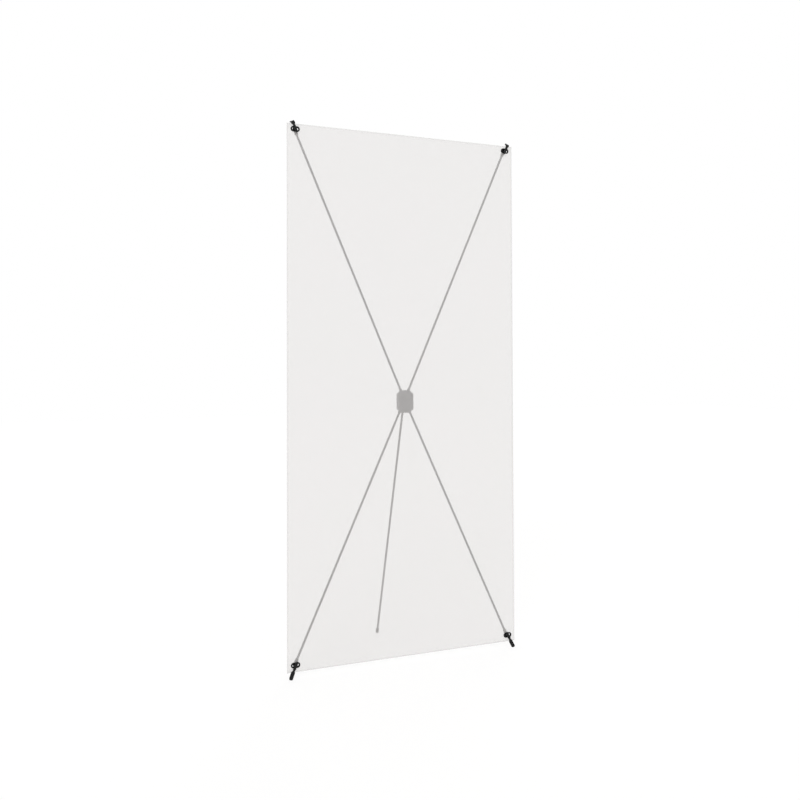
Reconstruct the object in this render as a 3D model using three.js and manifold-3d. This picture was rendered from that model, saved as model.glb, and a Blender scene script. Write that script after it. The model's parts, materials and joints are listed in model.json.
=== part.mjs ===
// Spring-back banner stand: a sprung hub spreads four rods into an X that stretches a clear white film,
// and a fifth rod props it from behind. Millimetres, +Z up, the film's front faces -Y.
import * as THREE from "three";
import { mergeVertices } from "three/addons/utils/BufferGeometryUtils.js";
import Module from "manifold-3d";

const wasm = await Module();
wasm.setup();

// Film and the place of its four eyelets
const filmWidth = 800;
const filmHeight = 1720;
const filmThickness = 0.5;
const eyeletFromSide = 27;
const eyeletFromTop = 17;
const eyeletFromBottom = 21.5;

// Clearances
const seatGap = 0.15;
const fitGap = 0.25;
const runningGap = 0.4;
const overrun = 60;
const weldDistance = 0.001;

// Eyelets, wider than they are tall: a domed ring in front, its neck through the film, a washer behind
const ringWidth = 30;
const ringHeight = 18;
const boreHeight = 8;
const neckWall = 1.2;
const domeDepth = 2.2;
const domeEdgeDepth = 0.6;
const washerHeight = 17;
const washerThickness = 1.2;
const lipReach = 1.3;
const lipThickness = 0.8;
const ringSides = 24;
const domeSteps = 5;

// Rods
const rodDiameter = 7;
const rodSides = 16;

// Hub: its depths are measured from the plane of the rods, its outline from the point where they cross
const hubFromFilm = 14;
const crossingBelowFilmCentre = 20;
const hubWidth = 54;
const hubAboveCrossing = 32;
const hubBelowCrossing = 42;
const hubCornerWidth = 13;
const hubCornerHeight = 12;
const hubCornerRadius = 3;
const hubCornerSteps = 3;
const hubBeforeRods = 12.5;
const splitBeforeRods = 7.7;
const hubBehindRods = 5;
const shellWall = 1.7;
const edgeBevel = 1;
const topPivotRadius = 24;
const bottomPivotRadius = 31;

// Pivot pins and knuckles
const pinDiameter = 3;
const pinLength = 15;
const pinSides = 16;
const knuckleWidth = 10;
const knuckleHeadDiameter = 9.4;
const barrelDiameter = 9.4;
const barrelStart = 6.5;
const barrelEnd = 17;
const barrelChamfer = 0.8;
const springBay = 6;
const springBayDiameter = 10.4;
const knuckleArcSteps = 8;
const rodSeatInKnuckle = 8.5;

// Torsion springs
const springWire = 0.9;
const springCoilDiameter = 4.6;
const springPitch = 1.4;
const springTurns = 3.25;
const springSides = 5;
const springStepsPerTurn = 8;

// Rear leg and its yoke
const legPivotBehindRods = 6;
const legSpread = 298;
const yokeWall = 3;
const yokeHalfHeight = 5;
const yokeArcSteps = 12;

// Rubber foot of the rear leg
const footDiameter = 10.5;
const footLength = 19;
const footMouthDiameter = 9;
const footRodSeat = 6;
const footRoundSteps = 6;
const footSoleDepth = 1.8;

// Hub screws
const screwFromCentre = 19;
const screwAboveCrossing = 9;
const screwBelowCrossing = 14;
const screwDiameter = 2.8;
const screwHeadDiameter = 6;
const screwHeadHeight = 1.8;
const screwTipFromFront = 2.4;
const screwDriveWidth = 0.9;
const screwDriveDepth = 1;
const bossDiameter = 6.4;

// Corner hooks: socket and shoulder behind the film, stem through the eyelet, toe and leaf in front of it
const hookAxisFromFilm = 8.3;
const socketDiameter = 10.5;
const socketMouth = 18;
const socketEnd = 2.5;
const socketRodSeat = 3.2;
const socketChamfer = 0.8;
const shoulderDiameter = 15;
const shoulderThickness = 4;
const stemWidth = 9;
const stemThickness = 5;
const barFromFilm = 5.8;
const toeReach = 13;
const toeTipWidth = 7;
const toeRoundShare = 0.8;
const toeEndShare = 0.5;
const neckWidth = 7.5;
const neckThickness = 4.4;
const neckReach = 18;
const leafWidth = 13;
const leafThickness = 3.4;
const leafTipWidth = 8;
const leafRim = 1.7;
const leafRecess = 0.9;
const recessStartShare = 0.6;
const recessEndShare = 0.965;
const recessEndWidthShare = 0.5;
const crookRadius = 9;
const crookAngle = THREE.MathUtils.degToRad(130);
const footLeafReach = 44;
const footLeafLean = 6;
const hookSoleDepth = 1.6;
const hookSections = 10;
const hookSteps = 28;
const sectionSquareness = 0.6;

// Looks
const looks = {
  film: { color: 0xeeedec, roughness: 0.35, metalness: 0, transparent: true, opacity: 0.5 },
  rod: { color: 0x3a3b3d, roughness: 0.45, metalness: 0 },
  hub: { color: 0x232426, roughness: 0.55, metalness: 0 },
  hook: { color: 0x101112, roughness: 0.2, metalness: 0 },
  eyelet: { color: 0x131415, roughness: 0.25, metalness: 0 },
  rubber: { color: 0x1b1b1c, roughness: 0.8, metalness: 0 },
  steel: { color: 0xb4b6b8, roughness: 0.3, metalness: 1 },
};
const materials = {};
for (const [name, look] of Object.entries(looks)) {
  materials[name] = new THREE.MeshStandardMaterial(look);
}

// A closed geometry as a solid, and back
function solid(geometry) {
  const bare = geometry.clone();
  bare.deleteAttribute("normal");
  bare.deleteAttribute("uv");
  const merged = mergeVertices(bare, weldDistance);
  return new wasm.Manifold(
    new wasm.Mesh({
      numProp: 3,
      vertProperties: merged.attributes.position.array,
      triVerts: new Uint32Array(merged.index.array),
    }),
  );
}

function geometryOf(manifold) {
  const mesh = manifold.getMesh();
  const geometry = new THREE.BufferGeometry();
  geometry.setAttribute("position", new THREE.BufferAttribute(mesh.vertProperties, 3));
  geometry.setIndex(new THREE.BufferAttribute(mesh.triVerts, 1));
  geometry.computeVertexNormals();
  return geometry;
}

function piece(name, look, shape) {
  const geometry = shape.isBufferGeometry ? shape : geometryOf(shape);
  const mesh = new THREE.Mesh(geometry, materials[look]);
  mesh.name = name;
  return mesh;
}

// Basic shapes, each along the local Z axis
function turned(profile, sides) {
  const points = profile.map(([radius, height]) => new THREE.Vector2(radius, height));
  points.push(points[0].clone());
  return new THREE.LatheGeometry(points, sides).rotateX(Math.PI / 2);
}

function cylinder(diameter, from, to, sides) {
  const length = to - from;
  const geometry = new THREE.CylinderGeometry(diameter / 2, diameter / 2, length, sides);
  return geometry.rotateX(Math.PI / 2).translate(0, 0, (from + to) / 2);
}

function block(x0, x1, y0, y1, z0, z1) {
  const geometry = new THREE.BoxGeometry(x1 - x0, y1 - y0, z1 - z0);
  return geometry.translate((x0 + x1) / 2, (y0 + y1) / 2, (z0 + z1) / 2);
}

// A ring round the Y axis made wider along X: each half moves outwards
function widened(ring, half) {
  const points = ring.getAttribute("position");
  for (let i = 0; i < points.count; i++) {
    points.setX(i, points.getX(i) + Math.sign(points.getX(i)) * half);
  }
  return ring;
}

// A skin over rings of points, closed by a fan at each end
function skin(rings) {
  const count = rings[0].length;
  const points = rings.flat();
  const faces = [];
  for (let ring = 0; ring < rings.length - 1; ring++) {
    for (let i = 0; i < count; i++) {
      const a = ring * count + i;
      const b = ring * count + ((i + 1) % count);
      faces.push(a, b, b + count, a, b + count, a + count);
    }
  }
  const last = (rings.length - 1) * count;
  for (let i = 1; i < count - 1; i++) {
    faces.push(0, i + 1, i);
    faces.push(last, last + i, last + i + 1);
  }
  const geometry = new THREE.BufferGeometry().setFromPoints(points);
  geometry.setIndex(faces);
  geometry.computeVertexNormals();
  return geometry;
}

// Sections round a path that lies in the plane x = 0; widths run along x
function sectionRings(centres, widths, thicknesses, corners, squareness) {
  return centres.map((centre, step) => {
    const before = centres[Math.max(step - 1, 0)];
    const after = centres[Math.min(step + 1, centres.length - 1)];
    const along = after.clone().sub(before).normalize();
    const across = new THREE.Vector3(1, 0, 0);
    const normal = along.clone().cross(across);
    const ring = [];
    for (let i = 0; i < corners; i++) {
      const angle = (2 * Math.PI * (i + 0.5)) / corners;
      const c = Math.cos(angle);
      const s = Math.sin(angle);
      const u = Math.sign(c) * Math.abs(c) ** squareness;
      const v = Math.sign(s) * Math.abs(s) ** squareness;
      const point = centre.clone();
      point.addScaledVector(across, (u * widths[step]) / 2);
      point.addScaledVector(normal, (v * thicknesses[step]) / 2);
      ring.push(point);
    }
    return ring;
  });
}

// Places and directions of the four corners, seen from the front
const eyeletX = filmWidth / 2 - eyeletFromSide;
const topEyeletZ = filmHeight / 2 - eyeletFromTop;
const bottomEyeletZ = eyeletFromBottom - filmHeight / 2;
const crossing = new THREE.Vector3(0, hubFromFilm, -crossingBelowFilmCentre);
const corners = [
  { name: "top_left", x: -eyeletX, z: topEyeletZ, pivotRadius: topPivotRadius, isTop: true },
  { name: "top_right", x: eyeletX, z: topEyeletZ, pivotRadius: topPivotRadius, isTop: true },
  { name: "bottom_left", x: -eyeletX, z: bottomEyeletZ, pivotRadius: bottomPivotRadius, isTop: false },
  { name: "bottom_right", x: eyeletX, z: bottomEyeletZ, pivotRadius: bottomPivotRadius, isTop: false },
];

// A frame whose Z runs out along the rod, whose X is the pivot pin and whose Y points to the rear
function rodFrame(pivot, end) {
  const along = end.clone().sub(pivot).normalize();
  const pin = new THREE.Vector3(0, 1, 0).cross(along).normalize();
  const rear = along.clone().cross(pin);
  const matrix = new THREE.Matrix4().makeBasis(pin, rear, along);
  return matrix.setPosition(pivot);
}

for (const corner of corners) {
  const out = new THREE.Vector3(corner.x - crossing.x, 0, corner.z - crossing.z).normalize();
  const pivot = crossing.clone().addScaledVector(out, corner.pivotRadius);
  const end = new THREE.Vector3(corner.x, hookAxisFromFilm, corner.z);
  corner.length = end.distanceTo(pivot);
  corner.frame = rodFrame(pivot, end);
}

// The film, with a hole for each eyelet's neck
const eyeletStretch = (ringWidth - ringHeight) / 2;
const neckRadius = boreHeight / 2 + neckWall;
const filmHoleRadius = neckRadius + fitGap;

function makeFilm() {
  const outline = new THREE.Shape();
  outline.moveTo(-filmWidth / 2, -filmHeight / 2);
  outline.lineTo(filmWidth / 2, -filmHeight / 2);
  outline.lineTo(filmWidth / 2, filmHeight / 2);
  outline.lineTo(-filmWidth / 2, filmHeight / 2);
  for (const corner of corners) {
    const hole = new THREE.Path();
    const quarter = Math.PI / 2;
    hole.absarc(corner.x + eyeletStretch, corner.z, filmHoleRadius, -quarter, quarter, false);
    hole.absarc(corner.x - eyeletStretch, corner.z, filmHoleRadius, quarter, 3 * quarter, false);
    hole.closePath();
    outline.holes.push(hole);
  }
  const sheet = new THREE.ExtrudeGeometry(outline, {
    depth: filmThickness,
    bevelEnabled: false,
    curveSegments: ringSides / 4,
  });
  sheet.rotateX(Math.PI / 2).translate(0, filmThickness / 2, 0);
  return piece("banner_film", "film", sheet);
}

// Eyelet depths, measured rearwards from the middle of the film
const flangeSeat = -filmThickness / 2 - seatGap;
const washerFront = filmThickness / 2 + seatGap;
const washerRear = washerFront + washerThickness;
const lipFront = washerRear + seatGap;
const lipRear = lipFront + lipThickness;

// The grommet: a domed ring in front, a straight neck, and a lip rolled out over the washer
function grommetShape() {
  const bore = boreHeight / 2;
  const rim = ringHeight / 2;
  const crown = (bore + rim) / 2;
  const dome = [];
  for (let i = 0; i <= domeSteps; i++) {
    const angle = (Math.PI * i) / domeSteps;
    const radius = crown - ((rim - bore) / 2) * Math.cos(angle);
    const rise = domeEdgeDepth + (domeDepth - domeEdgeDepth) * Math.sin(angle);
    dome.push([radius, flangeSeat - rise]);
  }
  const profile = [
    ...dome,
    [rim, flangeSeat],
    [neckRadius, flangeSeat],
    [neckRadius, lipFront],
    [neckRadius + lipReach, lipFront],
    [neckRadius + lipReach / 2, lipRear],
    [bore, lipRear],
  ];
  return eyeletRing(profile);
}

function eyeletRing(profile) {
  const ring = turned(profile, ringSides).rotateX(-Math.PI / 2);
  return widened(ring.rotateY(Math.PI / ringSides), eyeletStretch);
}

function washerShape() {
  const inner = neckRadius + fitGap;
  const outer = washerHeight / 2;
  const profile = [
    [inner, washerFront],
    [outer, washerFront],
    [outer, washerFront + washerThickness / 2],
    [outer - washerThickness / 2, washerRear],
    [inner, washerRear],
  ];
  return eyeletRing(profile);
}

// A torsion spring round its pin: coil, one leg on the slot's floor and one on the knuckle's web
const slotFloor = knuckleHeadDiameter / 2 + runningGap;

function springPath() {
  const radius = springCoilDiameter / 2;
  const steps = Math.round(springTurns * springStepsPerTurn);
  const start = Math.PI / 2;
  const webLeg = Math.sqrt((springBayDiameter / 2) ** 2 - (radius + springWire / 2) ** 2) - fitGap;
  const floorLeg = slotFloor - fitGap;
  const halfCoil = (springTurns * springPitch) / 2;
  const points = [new THREE.Vector3(-halfCoil, radius, webLeg)];
  for (let i = 0; i <= steps; i++) {
    const angle = start + (2 * Math.PI * springTurns * i) / steps;
    const x = -halfCoil + (2 * halfCoil * i) / steps;
    points.push(new THREE.Vector3(x, radius * Math.sin(angle), radius * Math.cos(angle)));
  }
  points.push(new THREE.Vector3(halfCoil, -floorLeg, -radius));
  return points;
}

function springShape() {
  const points = springPath();
  const rings = points.map((point, step) => {
    const before = points[Math.max(step - 1, 0)];
    const after = points[Math.min(step + 1, points.length - 1)];
    const along = after.clone().sub(before).normalize();
    const side = new THREE.Vector3(1, 0, 0).addScaledVector(along, -along.x).normalize();
    const up = along.clone().cross(side);
    const ring = [];
    for (let i = 0; i < springSides; i++) {
      const angle = (2 * Math.PI * i) / springSides;
      const spoke = side.clone().multiplyScalar(Math.cos(angle)).addScaledVector(up, Math.sin(angle));
      ring.push(point.clone().addScaledVector(spoke, springWire / 2));
    }
    return ring;
  });
  return skin(rings);
}

function leastSpringGap() {
  const points = springPath();
  let least = Infinity;
  for (let i = 0; i < points.length; i++) {
    for (let j = i + springStepsPerTurn / 2 + 1; j < points.length; j++) {
      least = Math.min(least, points[i].distanceTo(points[j]) - springWire);
    }
  }
  return least;
}

// The forked knuckle: a round head on the pin, a spring bay between its ears, a barrel that grips the rod
function knuckleShape() {
  const head = new THREE.Shape();
  const radius = knuckleHeadDiameter / 2;
  head.moveTo(barrelStart, -radius);
  head.lineTo(barrelStart, radius);
  head.lineTo(0, radius);
  head.absarc(0, 0, radius, Math.PI / 2, (3 * Math.PI) / 2, false);
  const plate = new THREE.ExtrudeGeometry(head, {
    depth: knuckleWidth,
    bevelEnabled: false,
    curveSegments: knuckleArcSteps,
  });
  plate.rotateY(-Math.PI / 2).translate(knuckleWidth / 2, 0, 0);
  const barrelRadius = barrelDiameter / 2;
  const boreRadius = rodDiameter / 2 + fitGap;
  const barrel = turned(
    [
      [0, rodSeatInKnuckle],
      [0, barrelStart - barrelChamfer],
      [barrelRadius, barrelStart - barrelChamfer],
      [barrelRadius, barrelEnd - barrelChamfer],
      [barrelRadius - barrelChamfer / 2, barrelEnd],
      [boreRadius, barrelEnd],
      [boreRadius, rodSeatInKnuckle],
    ],
    rodSides,
  );
  const bayHalf = springBay / 2;
  const bayRadius = springBayDiameter / 2;
  const bay = cylinder(springBayDiameter, -bayHalf, bayHalf, rodSides).rotateY(Math.PI / 2);
  const bayMouth = block(-bayHalf, bayHalf, -bayRadius, bayRadius, -overrun, 0);
  const pinHole = cylinder(pinDiameter + 2 * fitGap, -overrun, overrun, pinSides).rotateY(Math.PI / 2);
  const fork = solid(plate).subtract(solid(bay)).subtract(solid(bayMouth));
  return fork.add(solid(barrel)).subtract(solid(pinHole));
}

// Depths of the hub's faces behind the film
const hubFront = hubFromFilm - hubBeforeRods;
const hubSplit = hubFromFilm - splitBeforeRods;
const hubRear = hubFromFilm + hubBehindRods;

// Hub outline in the x-z plane, shrunk by an inset
function hubOutline(inset) {
  const side = hubWidth / 2 - inset;
  const top = hubAboveCrossing - inset;
  const bottom = -hubBelowCrossing + inset;
  const cut = inset * (Math.SQRT2 - 1);
  const shoulder = hubWidth / 2 - hubCornerWidth - cut;
  const points = [
    [shoulder, top],
    [side, hubAboveCrossing - hubCornerHeight - cut],
    [side, -hubBelowCrossing + hubCornerHeight + cut],
    [shoulder, bottom],
    [-shoulder, bottom],
    [-side, -hubBelowCrossing + hubCornerHeight + cut],
    [-side, hubAboveCrossing - hubCornerHeight - cut],
    [-shoulder, top],
  ].map(([x, z]) => new THREE.Vector2(x, z));
  return roundedOutline(points.reverse(), hubCornerRadius);
}

function roundedOutline(points, radius) {
  const outline = new THREE.Shape();
  points.forEach((point, i) => {
    const before = points[(i + points.length - 1) % points.length];
    const after = points[(i + 1) % points.length];
    const enter = point.clone().add(before.clone().sub(point).setLength(radius));
    const leave = point.clone().add(after.clone().sub(point).setLength(radius));
    if (i === 0) {
      outline.moveTo(enter.x, enter.y);
    } else {
      outline.lineTo(enter.x, enter.y);
    }
    outline.quadraticCurveTo(point.x, point.y, leave.x, leave.y);
  });
  outline.closePath();
  return outline;
}

// A plate with the hub's outline between two depths behind the film
function hubPlate(inset, front, rear) {
  const plate = new THREE.ExtrudeGeometry(hubOutline(inset), {
    depth: rear - front,
    bevelEnabled: false,
    curveSegments: hubCornerSteps,
  });
  return plate.rotateX(Math.PI / 2).translate(0, rear, crossing.z);
}

// The same plate with one bevelled face: towards the film, or to the rear
function bevelledHubPlate(front, rear, bevelInFront) {
  const plate = new THREE.ExtrudeGeometry(hubOutline(edgeBevel), {
    depth: rear - front - 2 * edgeBevel,
    bevelThickness: edgeBevel,
    bevelSize: edgeBevel,
    bevelSegments: 1,
    curveSegments: hubCornerSteps,
  });
  plate.rotateX(Math.PI / 2).translate(0, rear - edgeBevel, crossing.z);
  const middle = (front + rear) / 2;
  const straight = bevelInFront ? hubPlate(0, middle, rear) : hubPlate(0, front, middle);
  return solid(plate).add(solid(straight));
}

const screwPlaces = [
  { name: "hub_screw_top_left", x: -screwFromCentre, z: screwAboveCrossing },
  { name: "hub_screw_top_right", x: screwFromCentre, z: screwAboveCrossing },
  { name: "hub_screw_bottom_left", x: -screwFromCentre, z: -screwBelowCrossing },
  { name: "hub_screw_bottom_right", x: screwFromCentre, z: -screwBelowCrossing },
];
const screwSeat = hubRear - screwHeadHeight - seatGap;

// A round bar along Y at a screw's place
function screwBar(place, diameter, front, rear) {
  const bar = cylinder(diameter, -rear, -front, ringSides / 2).rotateX(Math.PI / 2);
  return bar.translate(place.x, 0, crossing.z + place.z);
}

// Posts on the front cover hold each pivot pin down in its open trough
function pinPosts(corner) {
  const posts = [];
  const inner = knuckleWidth / 2 + runningGap + seatGap;
  const outer = pinLength / 2;
  for (const side of [-1, 1]) {
    const edges = [side * inner, side * outer].sort((a, b) => a - b);
    const post = block(
      edges[0],
      edges[1],
      hubFront + shellWall / 2 - hubFromFilm,
      -pinDiameter / 2 - fitGap,
      -pinDiameter / 2,
      pinDiameter / 2,
    );
    posts.push(solid(post.applyMatrix4(corner.frame)));
  }
  return posts;
}

function makeFrontCover() {
  const shell = bevelledHubPlate(hubFront, hubSplit - seatGap, true);
  let cover = shell.subtract(solid(hubPlate(shellWall, hubFront + shellWall, hubSplit + overrun)));
  for (const place of screwPlaces) {
    const boss = screwBar(place, bossDiameter, hubFront + shellWall / 2, hubSplit - seatGap);
    cover = cover.add(solid(boss));
  }
  for (const corner of corners) {
    for (const post of pinPosts(corner)) {
      cover = cover.add(post);
    }
  }
  const pilotEnd = hubFront + screwTipFromFront - fitGap;
  for (const place of screwPlaces) {
    const pilot = screwBar(place, screwDiameter + 2 * fitGap, pilotEnd, overrun);
    cover = cover.subtract(solid(pilot));
  }
  return piece("hub_front_cover", "hub", cover);
}

// What one folding rod needs cut out of the rear cover: its slot, and room for the pin
const slotHalfWidth = knuckleWidth / 2 + runningGap;

function slotCut(frame, reach) {
  const slot = block(-slotHalfWidth, slotHalfWidth, -slotFloor, overrun, -slotFloor, reach);
  return solid(slot.applyMatrix4(frame));
}

function pinTrough(frame) {
  const half = pinLength / 2 + fitGap;
  const radius = pinDiameter / 2 + fitGap;
  const hole = cylinder(2 * radius, -half, half, pinSides).rotateY(Math.PI / 2);
  const trough = block(-half, half, -overrun, 0, -radius, radius);
  return solid(hole.applyMatrix4(frame)).add(solid(trough.applyMatrix4(frame)));
}

const legPivot = crossing.clone().add(new THREE.Vector3(0, legPivotBehindRods, 0));
const yokeHalfWidth = slotHalfWidth + yokeWall;

// Two ears on the rear cover carry the leg's pin
function yokeShape() {
  const outline = new THREE.Shape();
  const root = hubSplit + shellWall;
  outline.moveTo(root, -yokeHalfHeight);
  outline.lineTo(legPivot.y, -yokeHalfHeight);
  outline.absarc(legPivot.y, 0, yokeHalfHeight, -Math.PI / 2, Math.PI / 2, false);
  outline.lineTo(root, yokeHalfHeight);
  const ears = new THREE.ExtrudeGeometry(outline, {
    depth: 2 * yokeHalfWidth,
    bevelEnabled: false,
    curveSegments: yokeArcSteps,
  });
  ears.applyMatrix4(new THREE.Matrix4().makeBasis(
    new THREE.Vector3(0, 1, 0),
    new THREE.Vector3(0, 0, 1),
    new THREE.Vector3(1, 0, 0),
  ));
  return ears.translate(-yokeHalfWidth, 0, crossing.z);
}

function makeRearCover(legFrame) {
  let cover = bevelledHubPlate(hubSplit, hubRear, false).add(solid(yokeShape()));
  for (const corner of corners) {
    cover = cover.subtract(slotCut(corner.frame, overrun));
    cover = cover.subtract(pinTrough(corner.frame));
  }
  cover = cover.subtract(slotCut(legFrame, overrun));
  const legPinReach = yokeHalfWidth + seatGap;
  const legPinHole = cylinder(pinDiameter + 2 * fitGap, -legPinReach, legPinReach, pinSides);
  legPinHole.rotateY(Math.PI / 2).translate(0, legPivot.y, legPivot.z);
  cover = cover.subtract(solid(legPinHole));
  for (const place of screwPlaces) {
    const shankHole = screwBar(place, screwDiameter + 2 * fitGap, -overrun, overrun);
    const headHole = screwBar(place, screwHeadDiameter + 2 * fitGap, screwSeat, overrun);
    cover = cover.subtract(solid(shankHole)).subtract(solid(headHole));
  }
  return piece("hub_rear_cover", "hub", cover);
}

// A self-tapping screw with a cross recess, driven in from the rear
function makeScrew(place) {
  const headFront = screwSeat + seatGap;
  const headRear = headFront + screwHeadHeight;
  const shank = screwBar(place, screwDiameter, hubFront + screwTipFromFront, headFront + seatGap);
  const head = screwBar(place, screwHeadDiameter, headFront, headRear);
  const z = crossing.z + place.z;
  const arm = screwHeadDiameter / 3;
  const wing = screwDriveWidth / 2;
  const floor = headRear - screwDriveDepth;
  const across = block(place.x - arm, place.x + arm, floor, headRear + overrun, z - wing, z + wing);
  const upright = block(place.x - wing, place.x + wing, floor, headRear + overrun, z - arm, z + arm);
  const shape = solid(shank).add(solid(head)).subtract(solid(across)).subtract(solid(upright));
  return piece(place.name, "steel", shape);
}

// Hook: every length below is measured from the eyelet's centre, outwards along the rod
const barPlane = -(hookAxisFromFilm + barFromFilm);
const stemBend = stemThickness / 2 + socketChamfer;

function hookSocket() {
  const outer = socketDiameter / 2;
  return turned(
    [
      [0, socketEnd],
      [0, -socketMouth],
      [outer - socketChamfer, -socketMouth],
      [outer, -socketMouth + socketChamfer],
      [outer, socketEnd - 2 * socketChamfer],
      [outer - 2 * socketChamfer, socketEnd],
    ],
    rodSides,
  );
}

// The round shoulder that the eyelet's rear rests on
function hookShoulder() {
  const front = lipRear + runningGap - hookAxisFromFilm;
  const rear = front + shoulderThickness;
  const radius = shoulderDiameter / 2;
  const profile = [
    [0, rear],
    [0, front],
    [radius - socketChamfer, front],
    [radius, front + socketChamfer],
    [radius, rear - socketChamfer],
    [radius - socketChamfer, rear],
  ];
  return turned(profile, ringSides).rotateX(-Math.PI / 2);
}

// The middle line of stem and leaf; a top hook curls back over the film's edge, a bottom one leans forward
function hookPath(isTop) {
  const path = new THREE.Path();
  path.moveTo(0, 0);
  path.lineTo(0, barPlane + stemBend);
  path.quadraticCurveTo(0, barPlane, stemBend, barPlane);
  path.lineTo(neckReach, barPlane);
  if (isTop) {
    const start = -Math.PI / 2;
    path.absarc(neckReach, barPlane + crookRadius, crookRadius, start, start + crookAngle, false);
  } else {
    const middle = (neckReach + footLeafReach) / 2;
    path.quadraticCurveTo(middle, barPlane, footLeafReach, barPlane - footLeafLean);
  }
  return path;
}

function hookCentres(path, steps) {
  return path.getSpacedPoints(steps).map((point) => new THREE.Vector3(0, point.y, point.x));
}

// Width and thickness along the hook, as shares of the way from socket to tip
const hookStepShares = [0, 0.3, 0.42, 0.46, 0.5, 0.55, 0.61, 0.92, 0.97, 1];
const hookWidths = [
  stemWidth,
  stemWidth,
  stemWidth,
  neckWidth,
  neckWidth,
  (neckWidth + leafWidth) / 2,
  leafWidth,
  leafWidth,
  (leafWidth + leafTipWidth) / 2,
  leafTipWidth,
];
const hookThicknesses = [
  stemThickness,
  stemThickness,
  stemThickness,
  neckThickness,
  neckThickness,
  leafThickness,
  leafThickness,
  leafThickness,
  leafThickness,
  leafThickness / 2,
];

function valueAt(shares, values, share) {
  const next = shares.findIndex((mark) => mark >= share);
  if (next <= 0) return values[0];
  const part = (share - shares[next - 1]) / (shares[next] - shares[next - 1]);
  const eased = part * part * (3 - 2 * part);
  return THREE.MathUtils.lerp(values[next - 1], values[next], eased);
}

function hookBlade(isTop) {
  const centres = hookCentres(hookPath(isTop), hookSteps);
  const shares = centres.map((_, step) => step / hookSteps);
  const widths = shares.map((share) => valueAt(hookStepShares, hookWidths, share));
  const thicknesses = shares.map((share) => valueAt(hookStepShares, hookThicknesses, share));
  return skin(sectionRings(centres, widths, thicknesses, hookSections, sectionSquareness));
}

// The shallow recess that leaves a raised rim round the leaf's outer face
function leafRecessCut(isTop) {
  const all = hookCentres(hookPath(isTop), hookSteps);
  const first = Math.round(recessStartShare * hookSteps);
  const last = Math.floor(recessEndShare * hookSteps);
  const centres = [];
  const widths = [];
  const thicknesses = [];
  for (let step = first; step <= last; step++) {
    const forward = all[step + 1].clone().sub(all[step - 1]).normalize();
    const normal = forward.clone().cross(new THREE.Vector3(1, 0, 0));
    const full = valueAt(hookStepShares, hookWidths, step / hookSteps);
    const fromEnd = Math.min(step - first, last - step);
    centres.push(all[step].clone().addScaledVector(normal, -leafThickness / 2));
    widths.push((full - 2 * leafRim) * Math.min(1, recessEndWidthShare * (1 + fromEnd)));
    thicknesses.push(2 * leafRecess);
  }
  return skin(sectionRings(centres, widths, thicknesses, hookSections, sectionSquareness));
}

// The toe runs inwards over the eyelet and keeps the film from slipping off
const toeStepShares = [0, 0.4, 0.7, 0.88, 0.96, 1];
const toeWidths = [
  stemWidth,
  stemWidth,
  neckWidth,
  toeTipWidth,
  toeRoundShare * toeTipWidth,
  toeEndShare * toeTipWidth,
];
const toeThicknesses = [
  stemThickness,
  stemThickness,
  neckThickness,
  neckThickness,
  toeRoundShare * neckThickness,
  toeEndShare * neckThickness,
];

function hookToe() {
  const centres = toeStepShares.map((share) => {
    return new THREE.Vector3(0, barPlane, stemBend - (stemBend + toeReach) * share);
  });
  return skin(sectionRings(centres, toeWidths, toeThicknesses, hookSections, sectionSquareness));
}

function hookShape(isTop) {
  const rodBore = cylinder(rodDiameter + 2 * fitGap, -overrun, -socketRodSeat, rodSides);
  const rear = solid(hookSocket()).add(solid(hookShoulder())).subtract(solid(rodBore));
  const front = solid(hookBlade(isTop)).subtract(solid(leafRecessCut(isTop))).add(solid(hookToe()));
  return rear.add(front);
}

// A block that takes away everything below the floor, in a turned group's own frame
function belowFloor(floor, frame) {
  const wide = filmHeight;
  const slab = block(-wide, wide, -wide, wide, floor - overrun, floor);
  return solid(slab.applyMatrix4(frame.clone().invert()));
}

function lowest(geometry, matrix) {
  const placed = geometry.clone().applyMatrix4(matrix);
  return new THREE.Box3().setFromBufferAttribute(placed.getAttribute("position")).min.z;
}

function hookPlace(corner) {
  return corner.frame.clone().multiply(new THREE.Matrix4().makeTranslation(0, 0, corner.length));
}

// One folding rod with its knuckle and corner hook
function makeArm(corner, hook) {
  const arm = new THREE.Group();
  arm.name = "arm_" + corner.name;
  arm.applyMatrix4(corner.frame);
  arm.add(piece("arm_knuckle_" + corner.name, "hub", knuckleShape()));
  const rodEnd = corner.length - socketRodSeat - fitGap;
  const rod = cylinder(rodDiameter, rodSeatInKnuckle + fitGap, rodEnd, rodSides);
  arm.add(piece("arm_rod_" + corner.name, "rod", rod));
  const hookMesh = piece("corner_hook_" + corner.name, "hook", hook);
  hookMesh.position.z = corner.length;
  arm.add(hookMesh);
  return arm;
}

// Pin and spring stay in the hub, in the frame of the rod that turns on them
function makePivot(name, frame, length) {
  const pivot = new THREE.Group();
  pivot.name = "pivot_" + name;
  pivot.applyMatrix4(frame);
  const pin = cylinder(pinDiameter, -length / 2, length / 2, pinSides).rotateY(Math.PI / 2);
  pivot.add(piece("pivot_pin_" + name, "steel", pin));
  pivot.add(piece("torsion_spring_" + name, "steel", springShape()));
  return pivot;
}

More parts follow.
